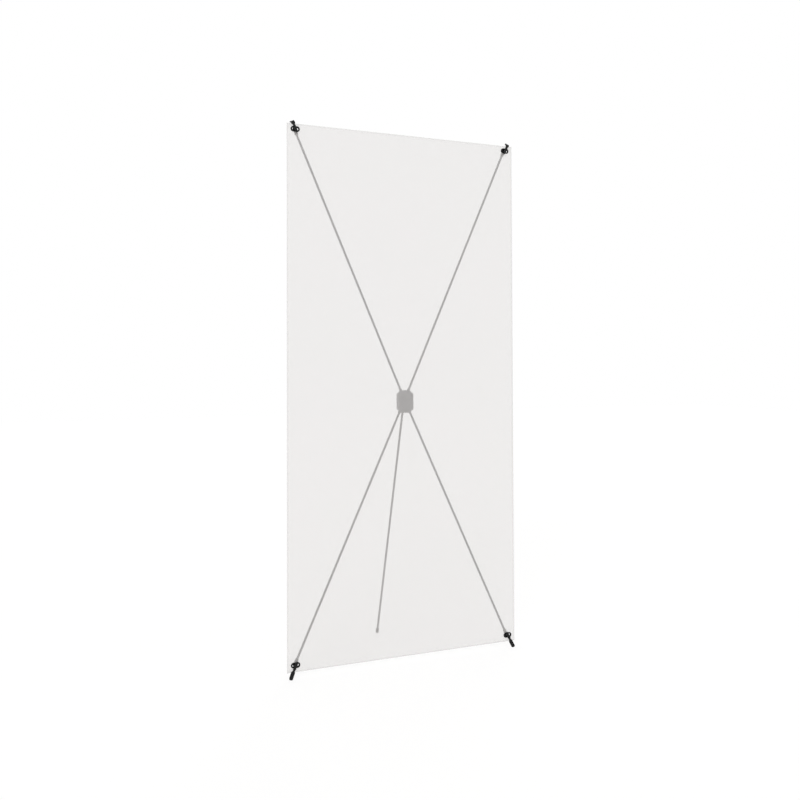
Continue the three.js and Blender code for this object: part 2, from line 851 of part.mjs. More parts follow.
// The rear leg: its foot's round end touches the floor at the leg's spread behind the film
function makeLeg(frame, length, floor) {
  const leg = new THREE.Group();
  leg.name = "rear_leg";
  leg.applyMatrix4(frame);
  leg.add(piece("leg_knuckle", "hub", knuckleShape()));
  const rodEnd = length - footRodSeat + footDiameter / 2;
  leg.add(piece("leg_rod", "rod", cylinder(rodDiameter, rodSeatInKnuckle + fitGap, rodEnd, rodSides)));
  const radius = footDiameter / 2;
  const bore = rodDiameter / 2 + fitGap;
  const tip = length + radius;
  const seat = rodEnd + fitGap;
  const round = [];
  for (let i = 0; i < footRoundSteps; i++) {
    const angle = ((Math.PI / 2) * i) / footRoundSteps;
    round.push([radius * Math.cos(angle), length + radius * Math.sin(angle)]);
  }
  const profile = [
    ...round,
    [0, tip],
    [0, seat],
    [bore, seat],
    [bore, tip - footLength],
    [footMouthDiameter / 2, tip - footLength],
    [radius, tip - footLength + (radius - bore)],
  ];
  const foot = solid(turned(profile, ringSides)).subtract(belowFloor(floor, frame));
  leg.add(piece("leg_foot", "rubber", foot));
  return leg;
}

function makeStand() {
  const stand = new THREE.Group();
  stand.name = "banner_stand";
  stand.add(makeFilm());
  for (const corner of corners) {
    const grommet = piece("eyelet_" + corner.name, "eyelet", grommetShape());
    const washer = piece("eyelet_washer_" + corner.name, "eyelet", washerShape());
    grommet.position.set(corner.x, 0, corner.z);
    washer.position.set(corner.x, 0, corner.z);
    stand.add(grommet, washer);
  }

  const topHook = hookShape(true);
  const bottomHook = hookShape(false);
  const footCorner = corners.find((corner) => !corner.isTop);
  const floor = lowest(geometryOf(bottomHook), hookPlace(footCorner)) + hookSoleDepth;
  for (const corner of corners) {
    const hook = corner.isTop ? topHook : bottomHook.subtract(belowFloor(floor, hookPlace(corner)));
    stand.add(makeArm(corner, hook));
    stand.add(makePivot(corner.name, corner.frame, pinLength));
  }

  const footCentre = new THREE.Vector3(0, legSpread, floor + footDiameter / 2 - footSoleDepth);
  const legFrame = rodFrame(legPivot, footCentre);
  const legLength = footCentre.distanceTo(legPivot);
  stand.add(makeLeg(legFrame, legLength, floor));
  stand.add(makePivot("leg", legFrame, 2 * (yokeHalfWidth - seatGap)));
  stand.add(makeFrontCover());
  stand.add(makeRearCover(legFrame));
  for (const place of screwPlaces) {
    stand.add(makeScrew(place));
  }
  return stand;
}

// The origin is on the floor, under the middle of the whole stand
const stand = makeStand();
const whole = new THREE.Box3().setFromObject(stand, true);
const middle = whole.getCenter(new THREE.Vector3());
stand.position.set(-middle.x, -middle.y, -whole.min.z);
console.log("least gap between spring turns: " + leastSpringGap().toFixed(2) + " mm");

export default stand;
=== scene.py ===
# %% [markdown]
# # A spring-back banner stand
#
# A small sprung hub spreads four thin rods into an X, and a fifth rod props it from behind. A glossy black
# hook on each rod goes through an oval eyelet in the corner of a clear white film and pulls it flat.
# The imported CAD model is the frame: it gives every place and every size, and each piece made here
# rides on one of its bodies. The cells go from the camera to the finishes and then from the rods outwards.

import json
import math

import bmesh
import bpy
from mathutils import Matrix, Vector, geometry

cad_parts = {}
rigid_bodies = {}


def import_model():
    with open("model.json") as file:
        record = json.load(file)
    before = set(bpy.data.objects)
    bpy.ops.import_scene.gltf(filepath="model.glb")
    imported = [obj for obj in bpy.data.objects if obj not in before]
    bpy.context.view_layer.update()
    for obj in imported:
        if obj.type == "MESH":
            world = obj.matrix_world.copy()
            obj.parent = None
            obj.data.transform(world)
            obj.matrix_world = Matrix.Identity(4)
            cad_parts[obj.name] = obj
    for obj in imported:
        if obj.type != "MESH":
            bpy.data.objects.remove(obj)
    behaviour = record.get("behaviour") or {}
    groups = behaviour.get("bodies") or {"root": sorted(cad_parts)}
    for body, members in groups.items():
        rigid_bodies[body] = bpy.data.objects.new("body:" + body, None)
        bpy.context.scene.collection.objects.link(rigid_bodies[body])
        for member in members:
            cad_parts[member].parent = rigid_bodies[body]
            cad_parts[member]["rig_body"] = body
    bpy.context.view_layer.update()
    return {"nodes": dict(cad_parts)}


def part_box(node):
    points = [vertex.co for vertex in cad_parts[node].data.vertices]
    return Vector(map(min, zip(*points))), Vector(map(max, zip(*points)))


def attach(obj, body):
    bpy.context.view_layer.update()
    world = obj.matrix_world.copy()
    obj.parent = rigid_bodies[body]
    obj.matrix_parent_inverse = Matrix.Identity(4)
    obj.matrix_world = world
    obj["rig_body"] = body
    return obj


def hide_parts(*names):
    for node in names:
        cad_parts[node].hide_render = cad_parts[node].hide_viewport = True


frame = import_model()
scene = bpy.context.scene
scene.view_settings.view_transform = "Standard"
MM = 0.001

# %% [markdown]
# ## Two helpers for every tree
#
# Blender reckons colour in linear light, but a colour is usually written down as an sRGB hex value, so one
# function turns it. Another adds a node with its settings, its fixed numbers and its links.


# %% Colour and nodes
# The Mix node has sockets for several kinds of value. These are the numbers of its colour sockets.
COLOUR_A, COLOUR_B, MIXED_COLOUR = 6, 7, 2
WHITE = (1, 1, 1, 1)


def linear(code):
    channels = [int(code[i : i + 2], 16) / 255 for i in (1, 3, 5)]
    return tuple(c / 12.92 if c <= 0.04045 else ((c + 0.055) / 1.055) ** 2.4 for c in channels) + (1.0,)


def add(tree, kind, links=None, values=None, **settings):
    """Adds a node; links and values go by the names or numbers of its sockets."""
    node = tree.nodes.new(kind)
    for name, value in settings.items():
        setattr(node, name, value)
    for socket, value in (values or {}).items():
        node.inputs[socket].default_value = value
    for socket, source in (links or {}).items():
        tree.links.new(source, node.inputs[socket])
    return node


print("mid grey #808080 is", round(linear("#808080")[0], 3), "in linear light")

# %% [markdown]
# ## Camera
#
# The picture was taken at about the height of a standing person's waist, 21 degrees to the left of the
# film's face. Focal length, place and tilt were fitted to the film's corners, the eyelets, the rods and the
# foot. The crop isn't centred on the lens, so the sensor is shifted as well, and the fit leaves a fifth of
# a degree of roll.

# %% Camera
FOCAL_PIXELS = 779.1
PICTURE_PIXELS = 800
LENS_ROW = 349.1
camera_data = bpy.data.cameras.new("camera")
camera_data.sensor_width = 36
camera_data.lens = FOCAL_PIXELS / PICTURE_PIXELS * camera_data.sensor_width
camera_data.shift_y = (LENS_ROW - PICTURE_PIXELS / 2) / PICTURE_PIXELS
camera = bpy.data.objects.new("camera", camera_data)
camera.location = (-0.9370, -2.5493, 0.9791)
camera.rotation_euler = [math.radians(turn) for turn in (91.072, 0.190, -20.854)]
scene.collection.objects.link(camera)
scene.camera = camera
print("lens", round(camera_data.lens, 2), "mm")

# %% [markdown]
# ## Studio
#
# The stand is shown on white. A film that lets half the light through needs that white behind it, so the
# room and the floor are pure white to the camera and to reflections, while the light that falls on the stand
# stays at a plain level. A part of the floor's brightness is real light, which keeps the shadows of the feet.


# %% Room light
def seen_directly(tree):
    """1 for rays from the camera, from a reflection or through the film, and 0 for rays that light things."""
    paths = add(tree, "ShaderNodeLightPath")
    either = add(
        tree,
        "ShaderNodeMath",
        {0: paths.outputs["Is Camera Ray"], 1: paths.outputs["Is Glossy Ray"]},
        operation="MAXIMUM",
    )
    return add(
        tree,
        "ShaderNodeMath",
        {0: either.outputs[0], 1: paths.outputs["Is Transmission Ray"]},
        operation="MAXIMUM",
    ).outputs[0]


ROOM_LIGHT = 0.78
world = bpy.data.worlds.new("white_room")
world.use_nodes = True
world.node_tree.nodes.clear()
room = world.node_tree
lighting = add(room, "ShaderNodeBackground", values={"Color": WHITE, "Strength": ROOM_LIGHT})
backdrop = add(room, "ShaderNodeBackground", values={"Color": WHITE, "Strength": 1.0})
room_mix = add(
    room, "ShaderNodeMixShader", {0: seen_directly(room), 1: lighting.outputs[0], 2: backdrop.outputs[0]}
)
add(room, "ShaderNodeOutputWorld", {"Surface": room_mix.outputs[0]})
scene.world = world
print("room light on the stand", ROOM_LIGHT)

# %% Floor
# The glow is a little above white, since it's only a share of what is seen, and the paint is darker.
FLOOR_HALF = 12.0
GLOW_SHARE = 0.78
GLOW_STRENGTH = 1.04
SQUARE = ((-1, -1), (1, -1), (1, 1), (-1, 1))
floor_mesh = bpy.data.meshes.new("floor")
floor_mesh.from_pydata([(x * FLOOR_HALF, y * FLOOR_HALF, 0) for x, y in SQUARE], [], [(0, 1, 2, 3)])
floor = bpy.data.objects.new("floor", floor_mesh)
scene.collection.objects.link(floor)
paint = bpy.data.materials.new("pale_painted_floor")
paint.use_nodes = True
paint.node_tree.nodes.clear()
tree = paint.node_tree
place = add(tree, "ShaderNodeTexCoord")
cloud = add(tree, "ShaderNodeTexNoise", {"Vector": place.outputs["Object"]}, {"Scale": 3.0, "Detail": 3.0})
tone = add(
    tree,
    "ShaderNodeMix",
    {0: cloud.outputs["Fac"]},
    {COLOUR_A: linear("#f1f0ef"), COLOUR_B: linear("#f6f5f4")},
    data_type="RGBA",
)
matt = add(tree, "ShaderNodeBsdfDiffuse", {"Color": tone.outputs[MIXED_COLOUR]})
glow = add(tree, "ShaderNodeEmission", values={"Color": WHITE, "Strength": GLOW_STRENGTH})
share = add(tree, "ShaderNodeMath", {0: seen_directly(tree)}, {1: GLOW_SHARE}, operation="MULTIPLY")
both = add(tree, "ShaderNodeMixShader", {0: share.outputs[0], 1: matt.outputs[0], 2: glow.outputs[0]})
add(tree, "ShaderNodeOutputMaterial", {"Surface": both.outputs[0]})
floor_mesh.materials.append(paint)
print("floor", 2 * FLOOR_HALF, "m across")


# %% Lamps
def sun(name, towards, strength, spread):
    """A sun that shines towards a direction; spread is its angle in degrees, and softens its shadows."""
    lamp = bpy.data.lights.new(name, "SUN")
    lamp.energy = strength
    lamp.angle = math.radians(spread)
    holder = bpy.data.objects.new(name, lamp)
    holder.rotation_euler = Vector(towards).to_track_quat("-Z", "Y").to_euler()
    scene.collection.objects.link(holder)


sun("key_lamp", (0.45, 0.75, -0.55), 0.85, 24)
sun("rear_lamp", (-0.5, -0.65, -0.6), 0.35, 30)

# %% [markdown]
# ## Finishes
#
# Nearly everything here is a moulded or drawn plastic in black or dark grey. What tells such surfaces apart
# is not their colour but their gloss and their grain: a polished mould gives sharp highlights, a
# spark-eroded one a fine orange peel, and pultruded rod has long streaks. So one function lays down the same
# three layers, cloudy colour, uneven gloss and a fine relief.


# %% A finish in three layers
# Blender's noise runs from 0 to 1, but nearly all of it lies in this range.
CLOUD_RANGE = {"From Min": 0.3, "From Max": 0.7}


def finish(name, dark, light, patch, gloss, grain, relief, place=None, **sockets):
    """Two tones in patches, a range of roughness, and a relief over grains; lengths are in millimetres."""
    material = bpy.data.materials.new(name)
    material.use_nodes = True
    tree = material.node_tree
    tree.nodes.clear()
    if place is None:
        place = add(tree, "ShaderNodeTexCoord").outputs["Object"]
    elif callable(place):
        place = place(tree)
    cloud = add(
        tree,
        "ShaderNodeTexNoise",
        {"Vector": place},
        {"Scale": 1 / (patch * MM), "Detail": 4.0, "Roughness": 0.55},
    )
    tone = add(tree, "ShaderNodeMapRange", {"Value": cloud.outputs["Fac"]}, CLOUD_RANGE)
    colour = add(
        tree,
        "ShaderNodeMix",
        {0: tone.outputs[0]},
        {COLOUR_A: linear(dark), COLOUR_B: linear(light)},
        data_type="RGBA",
    )
    fine = add(tree, "ShaderNodeTexNoise", {"Vector": place}, {"Scale": 1 / (grain * MM), "Detail": 2.0})
    rough = add(
        tree,
        "ShaderNodeMapRange",
        {"Value": cloud.outputs["Fac"]},
        {**CLOUD_RANGE, "To Min": gloss[0], "To Max": gloss[1]},
    )
    bump = add(
        tree, "ShaderNodeBump", {"Height": fine.outputs["Fac"]}, {"Strength": 1.0, "Distance": relief * MM}
    )
    shader = add(
        tree,
        "ShaderNodeBsdfPrincipled",
        {
            "Base Color": colour.outputs[MIXED_COLOUR],
            "Roughness": rough.outputs[0],
            "Normal": bump.outputs[0],
        },
        sockets,
    )
    add(tree, "ShaderNodeOutputMaterial", {"Surface": shader.outputs[0]})
    return material


def node_of(material, kind):
    return next(node for node in material.node_tree.nodes if node.bl_idname == kind)


# %% Frosted PVC film, calendered between smooth rollers
# It scatters about half of the light and lets the rest through straight, so what is behind it keeps its
# edges and only turns paler. Light crosses both of its faces, so each one stops about three tenths.
FILM_STOPS = 0.318
film_finish = finish(
    "frosted_calendered_film",
    "#e1dfdd",
    "#e2dfde",
    220,
    (0.42, 0.5),
    2.5,
    0.006,
    **{"IOR": 1.53, "Alpha": FILM_STOPS},
)
film_finish.use_transparency_overlap = True
print(film_finish.name, "stops", round(1 - (1 - FILM_STOPS) ** 2, 2), "of the light in all")


# %% Glossy black nylon, moulded in a polished tool
# The two halves of the tool meet along the middle of the hook and leave a fine raised line, flat on top and
# gone at its foot.
PARTING_TOP = 0.1 * MM
PARTING_FOOT = 0.3 * MM
PARTING_RELIEF = 0.08 * MM


def own_place(tree):
    return add(tree, "ShaderNodeAttribute", attribute_name="own_place").outputs["Vector"]


hook_finish = finish(
    "polished_moulded_nylon",
    "#070808",
    "#0d0e0f",
    9,
    (0.16, 0.26),
    1.6,
    0.012,
    place=own_place,
    **{"IOR": 1.53, "Specular IOR Level": 0.2},
)
tree = hook_finish.node_tree
apart = add(tree, "ShaderNodeSeparateXYZ", {0: own_place(tree)})
from_middle = add(tree, "ShaderNodeMath", {0: apart.outputs["X"]}, operation="ABSOLUTE")
parting = add(
    tree,
    "ShaderNodeMapRange",
    {"Value": from_middle.outputs[0]},
    {"From Min": PARTING_TOP, "From Max": PARTING_FOOT, "To Min": 1.0, "To Max": 0.0},
    interpolation_type="SMOOTHSTEP",
)
relief = node_of(hook_finish, "ShaderNodeBump")
ridge = add(
    tree,
    "ShaderNodeBump",
    {"Height": parting.outputs[0], "Normal": relief.outputs[0]},
    {"Distance": PARTING_RELIEF},
)
tree.links.new(ridge.outputs[0], node_of(hook_finish, "ShaderNodeBsdfPrincipled").inputs["Normal"])
print(hook_finish.name)

# %% Black oxidised brass of the eyelets, pressed and lacquered
eyelet_finish = finish(
    "lacquered_pressed_brass",
    "#0a0a0b",
    "#131415",
    7,
    (0.2, 0.34),
    1.2,
    0.01,
    **{"Specular IOR Level": 0.25},
)
print(eyelet_finish.name)


# %% Dark grey fibreglass rod, pultruded
# Its glass strands run lengthwise, so the pattern is stretched thirty times along the rod. The real streaks
# are 0.2 mm wide, and here 1.2 mm, so that they show.
STREAK_STRETCH = 30


def lengthwise(tree):
    around = add(tree, "ShaderNodeAttribute", attribute_name="round_place")
    along = add(tree, "ShaderNodeAttribute", attribute_name="length_place")
    shrunk = add(
        tree, "ShaderNodeMath", {0: along.outputs["Fac"]}, {1: 1 / STREAK_STRETCH}, operation="MULTIPLY"
    )
    lifted = add(tree, "ShaderNodeCombineXYZ", {"Z": shrunk.outputs[0]})
    return add(
        tree, "ShaderNodeVectorMath", {0: around.outputs["Vector"], 1: lifted.outputs[0]}, operation="ADD"
    ).outputs[0]


rod_finish = finish(
    "pultruded_fibreglass",
    "#303133",
    "#484a4c",
    1.2,
    (0.34, 0.58),
    0.8,
    0.06,
    place=lengthwise,
    **{"IOR": 1.55},
)
print(rod_finish.name)

# %% Dark grey ABS of the hub, moulded in a spark-eroded tool
hub_finish = finish(
    "textured_moulded_abs", "#4d4e50", "#595a5c", 6, (0.44, 0.64), 1.0, 0.14, **{"IOR": 1.54}
)
print(hub_finish.name)

# %% Black rubber of the foot, compression moulded
# Matt, with the dust that a foot picks up near its sole. The dust fades out at its height above the floor.
DUST_HEIGHT = 5 * MM
DUST_AT_SOLE = 0.55
rubber_finish = finish("moulded_rubber", "#121213", "#1c1c1d", 5, (0.78, 0.92), 0.7, 0.05, **{"IOR": 1.52})
tree = rubber_finish.node_tree
rubber_place = node_of(rubber_finish, "ShaderNodeTexCoord").outputs["Object"]
height = add(tree, "ShaderNodeSeparateXYZ", {0: rubber_place})
dusty = add(
    tree,
    "ShaderNodeMapRange",
    {"Value": height.outputs["Z"]},
    {"From Min": 0.0, "From Max": DUST_HEIGHT, "To Min": DUST_AT_SOLE, "To Max": 0.0},
)
clean = node_of(rubber_finish, "ShaderNodeMix").outputs[MIXED_COLOUR]
dust = add(
    tree,
    "ShaderNodeMix",
    {0: dusty.outputs[0], COLOUR_A: clean},
    {COLOUR_B: linear("#4a4743")},
    data_type="RGBA",
)
rubber_shader = node_of(rubber_finish, "ShaderNodeBsdfPrincipled")
tree.links.new(dust.outputs[MIXED_COLOUR], rubber_shader.inputs["Base Color"])
print(rubber_finish.name)

# %% Drawn and zinc-plated steel of springs, pins and screws
steel_finish = finish(
    "zinc_plated_steel", "#a2a4a6", "#bfc1c3", 3, (0.24, 0.4), 0.4, 0.006, **{"Metallic": 1.0}
)
print(steel_finish.name)

# %% [markdown]
# ## Places
#
# Every rod is a straight bar that runs outwards from its knuckle. The middles of its two ends are read from
# the CAD rod, and give the direction that its hook, its pin and its spring are turned to: Z runs out along
# the rod, X along the pin, and Y to the rear.


# %% Ends of a bar, and the frame of a rod
def axis_ends(node):
    """The middles of a bar's two ends, from its corner points in each half of its length."""
    low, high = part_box(node)
    size = high - low
    longest = max(range(3), key=lambda i: size[i])
    middle = (low[longest] + high[longest]) / 2
    points = {tuple(round(c, 6) for c in v.co) for v in frame["nodes"][node].data.vertices}
    ends = []
    for side in (-1, 1):
        half = [Vector(p) for p in points if (p[longest] - middle) * side > 0]
        ends.append(sum(half, Vector()) / len(half))
    return ends


def rod_frame(origin, outwards):
    along = outwards.normalized()
    pin = Vector((0, 1, 0)).cross(along).normalized()
    turn = Matrix((pin, along.cross(pin), along)).transposed()
    return Matrix.Translation(origin) @ turn.to_4x4()


film_low, film_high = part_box("banner_film")
FILM_Y = (film_low.y + film_high.y) / 2
HOOK_BEHIND_FILM = 8.3 * MM
rods = {}
for corner in ("top_left", "top_right", "bottom_left", "bottom_right"):
    low_end, high_end = sorted(axis_ends("arm_rod_" + corner), key=lambda p: p.z)
    inner, outer = (low_end, high_end) if corner.startswith("top") else (high_end, low_end)
    eyelet_low, eyelet_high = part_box("eyelet_" + corner)
    eye = (eyelet_low + eyelet_high) / 2
    rods[corner] = {
        "body": "arm_" + corner,
        "node": "arm_rod_" + corner,
        "inner": inner,
        "outer": outer,
        "eyelet": Vector((eye.x, FILM_Y, eye.z)),
        "hook": rod_frame(Vector((eye.x, FILM_Y + HOOK_BEHIND_FILM, eye.z)), outer - inner),
    }
foot_end, leg_inner = sorted(axis_ends("leg_rod"), key=lambda p: p.z)
rods["leg"] = {"body": "rear_leg", "node": "leg_rod", "inner": leg_inner, "outer": foot_end}
for name, rod in rods.items():
    pin_middle = sum(axis_ends("pivot_pin_" + name), Vector()) / 2
    rod["pivot"] = rod_frame(pin_middle, rod["outer"] - rod["inner"])
    print(name, "rod", round((rod["outer"] - rod["inner"]).length / MM), "mm")

# %% [markdown]
# ## Round bars along a path
#
# Rods, pins and spring wire are all one thing: a round bar that follows a line. A Geometry Nodes tree turns
# a chain of points into a curve and sweeps a circle along it. It keeps two facts for the finish, how far
# along the bar a point is and where it is round it. A swell value on each point tapers the ends.


# %% Trees with named inputs
def new_tree(name, inputs):
    tree = bpy.data.node_groups.new(name, "GeometryNodeTree")
    tree.interface.new_socket("Geometry", in_out="INPUT", socket_type="NodeSocketGeometry")
    for label, kind in inputs.items():
        tree.interface.new_socket(label, in_out="INPUT", socket_type=kind)
    tree.interface.new_socket("Geometry", in_out="OUTPUT", socket_type="NodeSocketGeometry")
    return tree, add(tree, "NodeGroupInput").outputs


def close_tree(tree, shape, material):
    real = add(tree, "GeometryNodeRealizeInstances", {0: shape})
    coated = add(tree, "GeometryNodeSetMaterial", {"Geometry": real.outputs[0], "Material": material})
    smooth = add(tree, "GeometryNodeSetShadeSmooth", {0: coated.outputs[0]})
    add(tree, "NodeGroupOutput", {0: smooth.outputs[0]})


def shown(name, mesh):
    item = bpy.data.objects.new(name, mesh)
    scene.collection.objects.link(item)
    return item


def plain_mesh(item):
    graph = bpy.context.evaluated_depsgraph_get()
    return bpy.data.meshes.new_from_object(
        item.evaluated_get(graph), preserve_all_data_layers=True, depsgraph=graph
    )


def cleaned(mesh, reach):
    """Merges points nearer than reach, and so takes out the slivers that a bevel or a Boolean leaves."""
    shape = bmesh.new()
    shape.from_mesh(mesh)
    bmesh.ops.triangulate(shape, faces=shape.faces)
    bmesh.ops.remove_doubles(shape, verts=shape.verts, dist=reach)
    bmesh.ops.dissolve_degenerate(shape, edges=shape.edges, dist=reach)
    shape.to_mesh(mesh)
    shape.free()
    return mesh


def grown(name, mesh, tree, inputs):
    """Runs a tree on a mesh with its inputs by name, and keeps the result as a plain mesh."""
    seed = shown(name + "_seed", mesh)
    modifier = seed.modifiers.new("tree", "NODES")
    modifier.node_group = tree
    for item in tree.interface.items_tree:
        if item.item_type == "SOCKET" and item.in_out == "INPUT" and item.name in inputs:
            modifier[item.identifier] = inputs[item.name]
    made = plain_mesh(seed)
    bpy.data.objects.remove(seed)
    made.name = name
    return shown(name, made)


# %% The tree for a round bar
bar_tree, given = new_tree(
    "round_bar_along_path",
    {"Radius": "NodeSocketFloat", "Sides": "NodeSocketInt", "Material": "NodeSocketMaterial"},
)
line = add(bar_tree, "GeometryNodeMeshToCurve", {"Mesh": given["Geometry"]})
travel = add(bar_tree, "GeometryNodeSplineParameter")
marked = add(
    bar_tree,
    "GeometryNodeStoreNamedAttribute",
    {"Geometry": line.outputs[0], "Value": travel.outputs["Length"]},
    {"Name": "length_place"},
    data_type="FLOAT",
    domain="POINT",
)
swell = add(bar_tree, "GeometryNodeInputNamedAttribute", values={"Name": "swell"}, data_type="FLOAT")
swollen = add(
    bar_tree,
    "GeometryNodeSetCurveRadius",
    {"Curve": marked.outputs[0], "Radius": swell.outputs["Attribute"]},
)
ring = add(
    bar_tree, "GeometryNodeCurvePrimitiveCircle", {"Resolution": given["Sides"], "Radius": given["Radius"]}
)
where = add(bar_tree, "GeometryNodeInputPosition")
ring_marked = add(
    bar_tree,
    "GeometryNodeStoreNamedAttribute",
    {"Geometry": ring.outputs[0], "Value": where.outputs[0]},
    {"Name": "round_place"},
    data_type="FLOAT_VECTOR",
    domain="POINT",
)
swept = add(
    bar_tree,
    "GeometryNodeCurveToMesh",
    {"Curve": swollen.outputs[0], "Profile Curve": ring_marked.outputs[0]},
    {"Fill Caps": True},
)
close_tree(bar_tree, swept.outputs[0], given["Material"])


def chain(name, runs):
    """One mesh of open chains of points; each point is (place, swell)."""
    points, edges, swells = [], [], []
    for run in runs:
        first = len(points)
        points += [tuple(point) for point, _ in run]
        swells += [size for _, size in run]
        edges += [(first + i, first + i + 1) for i in range(len(run) - 1)]
    mesh = bpy.data.meshes.new(name)
    mesh.from_pydata(points, edges, [])
    mesh.attributes.new("swell", "FLOAT", "POINT").data.foreach_set("value", swells)
    return mesh


END_SWELL = 0.8
RUN_STEPS = 8


def straight_run(start, end, chamfer):
    """A bar from start to end whose ends are chamfered, as (place, swell)."""
    step = (end - start).normalized() * chamfer
    inner = [start + step + (end - start - 2 * step) * i / RUN_STEPS for i in range(RUN_STEPS + 1)]
    return [(start, END_SWELL), *[(point, 1.0) for point in inner], (end, END_SWELL)]


# %% Rods
ROD_RADIUS = 3.5 * MM
ROD_CHAMFER = 0.6 * MM
for name, rod in rods.items():
    run = straight_run(rod["inner"], rod["outer"], ROD_CHAMFER)
    piece = grown(
        rod["node"] + "_fibreglass",
        chain(name, [run]),
        bar_tree,
        {"Radius": ROD_RADIUS, "Sides": 32, "Material": rod_finish},
    )
    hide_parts(rod["node"])
    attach(piece, rod["body"])
    print(piece.name, len(piece.data.polygons), "faces")

# %% Pivot pins
PIN_RADIUS = 1.5 * MM
PIN_CHAMFER = 0.35 * MM
pin_runs = [straight_run(*axis_ends("pivot_pin_" + name), PIN_CHAMFER) for name in rods]
pins = grown(
    "pivot_pins",
    chain("pins", pin_runs),
    bar_tree,
    {"Radius": PIN_RADIUS, "Sides": 28, "Material": steel_finish},
)
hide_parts(*["pivot_pin_" + name for name in rods])
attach(pins, "hub")
print(pins.name, len(pin_runs), "pins")

# %% [markdown]
# ## Torsion springs
#
# Each arm is pushed open by a spring of three and a quarter turns round its pin, between the ears of the
# knuckle. One leg of the wire lies on the floor of the hub's slot, and the other on the knuckle's web.
# It is the same tree with a path that winds.

# %% Springs
WIRE_RADIUS = 0.45 * MM
COIL_RADIUS = 2.3 * MM
SPRING_TURNS = 3.25
SPRING_PITCH = 1.4 * MM
STEPS_PER_TURN = 28
LEG_STEPS = 4
FLOOR_LEG = 4.85 * MM
# The web's face is an arc round the pin, and the wire's leg ends a little before it.
WEB_FACE_RADIUS = 5.2 * MM
WEB_GAP = 0.25 * MM
WEB_LEG = math.sqrt(WEB_FACE_RADIUS**2 - (COIL_RADIUS + WIRE_RADIUS) ** 2) - WEB_GAP


def spring_run(pivot):
    """One spring's wire: the leg at the web, the turns, and the leg down to the slot's floor."""
    half = SPRING_TURNS * SPRING_PITCH / 2
    steps = round(SPRING_TURNS * STEPS_PER_TURN)
    points = [Vector((-half, COIL_RADIUS, WEB_LEG * i / LEG_STEPS)) for i in range(LEG_STEPS, 0, -1)]
    for i in range(steps + 1):
        angle = math.pi / 2 + 2 * math.pi * SPRING_TURNS * i / steps
        side = -half + 2 * half * i / steps
        points.append(Vector((side, COIL_RADIUS * math.sin(angle), COIL_RADIUS * math.cos(angle))))
    points += [Vector((half, -FLOOR_LEG * i / LEG_STEPS, -COIL_RADIUS)) for i in range(1, LEG_STEPS + 1)]
    return [(pivot @ point, 1.0) for point in points]


spring_runs = [spring_run(rod["pivot"]) for rod in rods.values()]
springs = grown(
    "torsion_springs",
    chain("springs", spring_runs),
    bar_tree,
    {"Radius": WIRE_RADIUS, "Sides": 12, "Material": steel_finish},
)
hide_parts(*["torsion_spring_" + name for name in rods])
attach(springs, "hub")
print(springs.name, len(springs.data.polygons), "faces")

# %% [markdown]
# ## Hub and knuckles
#
# The two covers of the hub and the five forked knuckles are moulded. Their CAD shapes are right, but no
# moulding has a knife edge: the tool leaves every outer edge with a small radius, which catches the light.
# So a copy of each CAD mesh has its double points merged, its flat faces made whole, and its edges bevelled.
# Some edges of the covers are shorter than the radius. A clamped bevel would shrink to nothing all over, so
# it isn't clamped, and its slivers are merged away. Normals weighted by area keep the flat faces flat.


# %% Copies with softened edges
POINT_MERGE = 0.02 * MM
SLIVER_MERGE = 0.005 * MM
FLAT_ANGLE = math.radians(1)
EDGE_ANGLE = math.radians(35)
COVER_EDGE = 0.2 * MM
KNUCKLE_EDGE = 0.15 * MM


def softened(node, width):
    shape = bmesh.new()
    shape.from_mesh(frame["nodes"][node].data)
    bmesh.ops.remove_doubles(shape, verts=shape.verts, dist=POINT_MERGE)
    bmesh.ops.dissolve_limit(shape, angle_limit=FLAT_ANGLE, verts=shape.verts, edges=shape.edges)
    mesh = bpy.data.meshes.new(node + "_moulded")
    shape.to_mesh(mesh)
    shape.free()
    mesh.materials.clear()
    mesh.materials.append(hub_finish)
    mesh.shade_smooth()
    sharp = shown(node + "_sharp", mesh)
    bevel = sharp.modifiers.new("edge_radius", "BEVEL")
    bevel.width = width
    bevel.segments = 2
    bevel.limit_method = "ANGLE"
    bevel.angle_limit = EDGE_ANGLE
    bevel.use_clamp_overlap = False
    piece = shown(node + "_moulded", cleaned(plain_mesh(sharp), SLIVER_MERGE))
    bpy.data.objects.remove(sharp)
    flat_faces = piece.modifiers.new("flat_faces", "WEIGHTED_NORMAL")
    flat_faces.keep_sharp = False
    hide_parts(node)
    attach(piece, frame["nodes"][node]["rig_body"])
    print(piece.name, len(piece.data.polygons), "faces")


for node in ("hub_front_cover", "hub_rear_cover"):
    softened(node, COVER_EDGE)
for name in rods:
    softened("leg_knuckle" if name == "leg" else "arm_knuckle_" + name, KNUCKLE_EDGE)

# %% [markdown]
# ## Repeats at places
#
# Screws, eyelets and washers are each made once and copied to their places. The tree takes the points of a
# small mesh, sets the pattern piece on each and makes the copies real.

# %% The tree for copies
copy_tree, given = new_tree(
    "copies_at_places", {"Pattern": "NodeSocketObject", "Material": "NodeSocketMaterial"}
)
pattern = add(copy_tree, "GeometryNodeObjectInfo", {"Object": given["Pattern"]})
copies = add(
    copy_tree,
    "GeometryNodeInstanceOnPoints",
    {"Points": given["Geometry"], "Instance": pattern.outputs["Geometry"]},
)
close_tree(copy_tree, copies.outputs[0], given["Material"])


